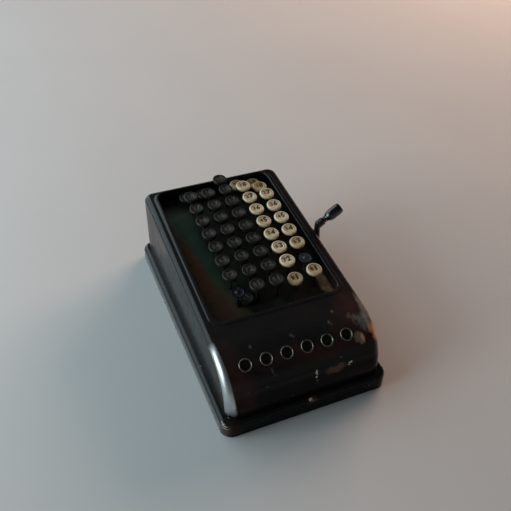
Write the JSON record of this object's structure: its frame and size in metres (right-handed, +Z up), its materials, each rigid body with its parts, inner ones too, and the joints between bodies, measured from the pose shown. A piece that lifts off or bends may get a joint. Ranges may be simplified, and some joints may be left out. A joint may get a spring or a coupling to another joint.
{
  "type": "mechanical adding machine",
  "caption": "Small desktop key-driven adding machine: black sheet case on a moulded base, sloping keyboard of round keys, result wheels behind sight holes and a side clearing lever.",
  "frame": {"origin": "centre of the flat underside of the base, on the table", "axes": "+X to the operator's right, +Y away from the operator, +Z up"},
  "size_m": [0.186, 0.2646, 0.0958],
  "materials": {
    "case_enamel": "gloss black stoving enamel, worn at the edges, brown where thin",
    "base_enamel": "gloss black enamel, scuffed",
    "plate_green": "dark green enamel, dirty, rusting towards the front",
    "frame_steel": "dull oiled steel",
    "rim_metal": "dull nickel, tarnished",
    "screw_steel": "dull steel",
    "black_key": "moulded black, handled",
    "cream_key": "moulded ivory, browned",
    "bare_key_metal": "dark blued steel",
    "wheel_black": "matt black with pale digits",
    "lever_steel": "blackened steel, bright where worn",
    "grip_black": "polished black"
  },
  "bodies": {
    "frame": {"base_pan": "base_enamel", "case_cover": "case_enamel", "keyboard_plate": "plate_green", "mechanism_frame": "frame_steel", "window_rims": "rim_metal", "wheel_axle": "frame_steel", "base_screws": "screw_steel"},
    "key_col1_digit1": {"key_col1_digit1": "bare_key_metal"},
    "key_col1_digit2": {"key_col1_digit2": "black_key"},
    "key_col1_digit3": {"key_col1_digit3": "black_key"},
    "key_col1_digit4": {"key_col1_digit4": "black_key"},
    "key_col1_digit5": {"key_col1_digit5": "black_key"},
    "key_col1_digit6": {"key_col1_digit6": "black_key"},
    "key_col1_digit7": {"key_col1_digit7": "black_key"},
    "key_col1_digit8": {"key_col1_digit8": "black_key"},
    "key_col1_digit9": {"key_col1_digit9": "black_key"},
    "key_col2_digit1": {"key_col2_digit1": "black_key"},
    "key_col2_digit2": {"key_col2_digit2": "black_key"},
    "key_col2_digit3": {"key_col2_digit3": "black_key"},
    "key_col2_digit4": {"key_col2_digit4": "black_key"},
    "key_col2_digit5": {"key_col2_digit5": "black_key"},
    "key_col2_digit6": {"key_col2_digit6": "black_key"},
    "key_col2_digit7": {"key_col2_digit7": "black_key"},
    "key_col2_digit8": {"key_col2_digit8": "black_key"},
    "key_col2_digit9": {"key_col2_digit9": "black_key"},
    "key_col3_digit1": {"key_col3_digit1": "black_key"},
    "key_col3_digit2": {"key_col3_digit2": "black_key"},
    "key_col3_digit3": {"key_col3_digit3": "black_key"},
    "key_col3_digit4": {"key_col3_digit4": "black_key"},
    "key_col3_digit5": {"key_col3_digit5": "black_key"},
    "key_col3_digit6": {"key_col3_digit6": "black_key"},
    "key_col3_digit7": {"key_col3_digit7": "black_key"},
    "key_col3_digit8": {"key_col3_digit8": "black_key"},
    "key_col3_digit9": {"key_col3_digit9": "black_key"},
    "key_col4_digit1": {"key_col4_digit1": "cream_key"},
    "key_col4_digit2": {"key_col4_digit2": "cream_key"},
    "key_col4_digit3": {"key_col4_digit3": "cream_key"},
    "key_col4_digit4": {"key_col4_digit4": "cream_key"},
    "key_col4_digit5": {"key_col4_digit5": "cream_key"},
    "key_col4_digit6": {"key_col4_digit6": "cream_key"},
    "key_col4_digit7": {"key_col4_digit7": "cream_key"},
    "key_col4_digit8": {"key_col4_digit8": "cream_key"},
    "key_col4_digit9": {"key_col4_digit9": "cream_key"},
    "key_col5_digit1": {"key_col5_digit1": "cream_key"},
    "key_col5_digit2": {"key_col5_digit2": "bare_key_metal"},
    "key_col5_digit3": {"key_col5_digit3": "cream_key"},
    "key_col5_digit4": {"key_col5_digit4": "cream_key"},
    "key_col5_digit5": {"key_col5_digit5": "cream_key"},
    "key_col5_digit6": {"key_col5_digit6": "cream_key"},
    "key_col5_digit7": {"key_col5_digit7": "cream_key"},
    "key_col5_digit8": {"key_col5_digit8": "cream_key"},
    "key_col5_digit9": {"key_col5_digit9": "cream_key"},
    "number_wheel_1": {"number_wheel_1": "wheel_black"},
    "number_wheel_2": {"number_wheel_2": "wheel_black"},
    "number_wheel_3": {"number_wheel_3": "wheel_black"},
    "number_wheel_4": {"number_wheel_4": "wheel_black"},
    "number_wheel_5": {"number_wheel_5": "wheel_black"},
    "number_wheel_6": {"number_wheel_6": "wheel_black"},
    "clearing_lever": {"clearing_lever": "lever_steel"},
    "lever_grip": {"lever_grip": "grip_black"}
  },
  "joints": [
    {"name": "press_col1_digit1", "type": "slide", "parent": "frame", "child": "key_col1_digit1", "axis": [0, 0, -1], "range_m": [0, 0.0055]},
    {"name": "press_col1_digit2", "type": "slide", "parent": "frame", "child": "key_col1_digit2", "axis": [0, 0, -1], "range_m": [0, 0.0068]},
    {"name": "press_col1_digit3", "type": "slide", "parent": "frame", "child": "key_col1_digit3", "axis": [0, 0, -1], "range_m": [0, 0.0081]},
    {"name": "press_col1_digit4", "type": "slide", "parent": "frame", "child": "key_col1_digit4", "axis": [0, 0, -1], "range_m": [0, 0.0094]},
    {"name": "press_col1_digit5", "type": "slide", "parent": "frame", "child": "key_col1_digit5", "axis": [0, 0, -1], "range_m": [0, 0.0107]},
    {"name": "press_col1_digit6", "type": "slide", "parent": "frame", "child": "key_col1_digit6", "axis": [0, 0, -1], "range_m": [0, 0.012]},
    {"name": "press_col1_digit7", "type": "slide", "parent": "frame", "child": "key_col1_digit7", "axis": [0, 0, -1], "range_m": [0, 0.0133]},
    {"name": "press_col1_digit8", "type": "slide", "parent": "frame", "child": "key_col1_digit8", "axis": [0, 0, -1], "range_m": [0, 0.0146]},
    {"name": "press_col1_digit9", "type": "slide", "parent": "frame", "child": "key_col1_digit9", "axis": [0, 0, -1], "range_m": [-0.015, 0.0009]},
    {"name": "press_col2_digit1", "type": "slide", "parent": "frame", "child": "key_col2_digit1", "axis": [0, 0, -1], "range_m": [0, 0.0055]},
    {"name": "press_col2_digit2", "type": "slide", "parent": "frame", "child": "key_col2_digit2", "axis": [0, 0, -1], "range_m": [0, 0.0068]},
    {"name": "press_col2_digit3", "type": "slide", "parent": "frame", "child": "key_col2_digit3", "axis": [0, 0, -1], "range_m": [0, 0.0081]},
    {"name": "press_col2_digit4", "type": "slide", "parent": "frame", "child": "key_col2_digit4", "axis": [0, 0, -1], "range_m": [0, 0.0094]},
    {"name": "press_col2_digit5", "type": "slide", "parent": "frame", "child": "key_col2_digit5", "axis": [0, 0, -1], "range_m": [0, 0.0107]},
    {"name": "press_col2_digit6", "type": "slide", "parent": "frame", "child": "key_col2_digit6", "axis": [0, 0, -1], "range_m": [0, 0.012]},
    {"name": "press_col2_digit7", "type": "slide", "parent": "frame", "child": "key_col2_digit7", "axis": [0, 0, -1], "range_m": [0, 0.0133]},
    {"name": "press_col2_digit8", "type": "slide", "parent": "frame", "child": "key_col2_digit8", "axis": [0, 0, -1], "range_m": [0, 0.0146]},
    {"name": "press_col2_digit9", "type": "slide", "parent": "frame", "child": "key_col2_digit9", "axis": [0, 0, -1], "range_m": [-0.015, 0.0009]},
    {"name": "press_col3_digit1", "type": "slide", "parent": "frame", "child": "key_col3_digit1", "axis": [0, 0, -1], "range_m": [0, 0.0055]},
    {"name": "press_col3_digit2", "type": "slide", "parent": "frame", "child": "key_col3_digit2", "axis": [0, 0, -1], "range_m": [0, 0.0068]},
    {"name": "press_col3_digit3", "type": "slide", "parent": "frame", "child": "key_col3_digit3", "axis": [0, 0, -1], "range_m": [0, 0.0081]},
    {"name": "press_col3_digit4", "type": "slide", "parent": "frame", "child": "key_col3_digit4", "axis": [0, 0, -1], "range_m": [0, 0.0094]},
    {"name": "press_col3_digit5", "type": "slide", "parent": "frame", "child": "key_col3_digit5", "axis": [0, 0, -1], "range_m": [0, 0.0107]},
    {"name": "press_col3_digit6", "type": "slide", "parent": "frame", "child": "key_col3_digit6", "axis": [0, 0, -1], "range_m": [0, 0.012]},
    {"name": "press_col3_digit7", "type": "slide", "parent": "frame", "child": "key_col3_digit7", "axis": [0, 0, -1], "range_m": [0, 0.0133]},
    {"name": "press_col3_digit8", "type": "slide", "parent": "frame", "child": "key_col3_digit8", "axis": [0, 0, -1], "range_m": [0, 0.0146]},
    {"name": "press_col3_digit9", "type": "slide", "parent": "frame", "child": "key_col3_digit9", "axis": [0, 0, -1], "range_m": [-0.0015, 0.0144]},
    {"name": "press_col4_digit1", "type": "slide", "parent": "frame", "child": "key_col4_digit1", "axis": [0, 0, -1], "range_m": [-0.005, 0.0005]},
    {"name": "press_col4_digit2", "type": "slide", "parent": "frame", "child": "key_col4_digit2", "axis": [0, 0, -1], "range_m": [0, 0.0068]},
    {"name": "press_col4_digit3", "type": "slide", "parent": "frame", "child": "key_col4_digit3", "axis": [0, 0, -1], "range_m": [0, 0.0081]},
    {"name": "press_col4_digit4", "type": "slide", "parent": "frame", "child": "key_col4_digit4", "axis": [0, 0, -1], "range_m": [0, 0.0094]},
    {"name": "press_col4_digit5", "type": "slide", "parent": "frame", "child": "key_col4_digit5", "axis": [0, 0, -1], "range_m": [0, 0.0107]},
    {"name": "press_col4_digit6", "type": "slide", "parent": "frame", "child": "key_col4_digit6", "axis": [0, 0, -1], "range_m": [0, 0.012]},
    {"name": "press_col4_digit7", "type": "slide", "parent": "frame", "child": "key_col4_digit7", "axis": [0, 0, -1], "range_m": [0, 0.0133]},
    {"name": "press_col4_digit8", "type": "slide", "parent": "frame", "child": "key_col4_digit8", "axis": [0, 0, -1], "range_m": [0, 0.0146]},
    {"name": "press_col4_digit9", "type": "slide", "parent": "frame", "child": "key_col4_digit9", "axis": [0, 0, -1], "range_m": [-0.0126, 0.0033]},
    {"name": "press_col5_digit1", "type": "slide", "parent": "frame", "child": "key_col5_digit1", "axis": [0, 0, -1], "range_m": [0, 0.0055]},
    {"name": "press_col5_digit2", "type": "slide", "parent": "frame", "child": "key_col5_digit2", "axis": [0, 0, -1], "range_m": [0, 0.0068]},
    {"name": "press_col5_digit3", "type": "slide", "parent": "frame", "child": "key_col5_digit3", "axis": [0, 0, -1], "range_m": [0, 0.0081]},
    {"name": "press_col5_digit4", "type": "slide", "parent": "frame", "child": "key_col5_digit4", "axis": [0, 0, -1], "range_m": [0, 0.0094]},
    {"name": "press_col5_digit5", "type": "slide", "parent": "frame", "child": "key_col5_digit5", "axis": [0, 0, -1], "range_m": [0, 0.0107]},
    {"name": "press_col5_digit6", "type": "slide", "parent": "frame", "child": "key_col5_digit6", "axis": [0, 0, -1], "range_m": [0, 0.012]},
    {"name": "press_col5_digit7", "type": "slide", "parent": "frame", "child": "key_col5_digit7", "axis": [0, 0, -1], "range_m": [0, 0.0133]},
    {"name": "press_col5_digit8", "type": "slide", "parent": "frame", "child": "key_col5_digit8", "axis": [0, 0, -1], "range_m": [-0.0056, 0.009]},
    {"name": "press_col5_digit9", "type": "slide", "parent": "frame", "child": "key_col5_digit9", "axis": [0, 0, -1], "range_m": [-0.0154, 0.0005]},
    {"name": "wheel_1_turn", "type": "hinge", "parent": "frame", "child": "number_wheel_1", "pos_m": [-0.05063, -0.09196, 0.03624], "axis": [1, 0, 0], "continuous": true},
    {"name": "wheel_2_turn", "type": "hinge", "parent": "frame", "child": "number_wheel_2", "pos_m": [-0.03159, -0.09196, 0.03624], "axis": [1, 0, 0], "continuous": true},
    {"name": "wheel_3_turn", "type": "hinge", "parent": "frame", "child": "number_wheel_3", "pos_m": [-0.01253, -0.09196, 0.03624], "axis": [1, 0, 0], "continuous": true},
    {"name": "wheel_4_turn", "type": "hinge", "parent": "frame", "child": "number_wheel_4", "pos_m": [0.00651, -0.09196, 0.03624], "axis": [1, 0, 0], "continuous": true},
    {"name": "wheel_5_turn", "type": "hinge", "parent": "frame", "child": "number_wheel_5", "pos_m": [0.02557, -0.09196, 0.03624], "axis": [1, 0, 0], "continuous": true},
    {"name": "wheel_6_turn", "type": "hinge", "parent": "frame", "child": "number_wheel_6", "pos_m": [0.04462, -0.09196, 0.03624], "axis": [1, 0, 0], "continuous": true},
    {"name": "clearing_lever_swing", "type": "hinge", "parent": "frame", "child": "clearing_lever", "pos_m": [0.079, 0.022, 0.038], "axis": [1, 0, 0], "range_deg": [0, 80]},
    {"name": "lever_grip_spin", "type": "hinge", "parent": "clearing_lever", "child": "lever_grip", "pos_m": [0.079, 0.022, 0.0763], "axis": [0.8387, 0, 0.5446], "continuous": true}
  ]
}
